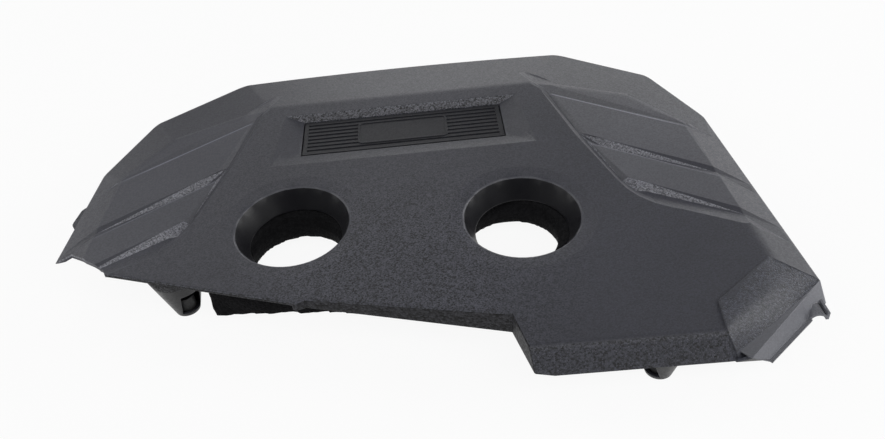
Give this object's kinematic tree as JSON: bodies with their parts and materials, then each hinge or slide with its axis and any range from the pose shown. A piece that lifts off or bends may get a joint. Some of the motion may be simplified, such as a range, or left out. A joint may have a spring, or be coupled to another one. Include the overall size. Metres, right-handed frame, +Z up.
{
  "type": "engine cover",
  "caption": "Moulded plastic engine cover with ribbed wings, an inset plate, tapered filler openings, a stepped front skirt, acoustic foam underneath and push-on ball-stud sockets.",
  "frame": {"origin": "under the middle of the cover, on the plane that the socket cups stand on", "axes": "+X across the cover to the right, +Y from the cut-away front edge to the bowed back edge, +Z up"},
  "size_m": [0.5634, 0.4098, 0.0658],
  "materials": {
    "grained_plastic": "fine moulded grain",
    "insert_plastic": "satin, ribbed",
    "acoustic_foam": "open-cell foam",
    "socket_rubber": "matt"
  },
  "bodies": {
    "root": {"cover_shell": "grained_plastic", "badge_insert": "insert_plastic", "foam_pad": "acoustic_foam", "grommet_front_left": "socket_rubber", "grommet_front_right": "socket_rubber", "grommet_rear_left": "socket_rubber", "grommet_rear_right": "socket_rubber"}
  },
  "joints": []
}
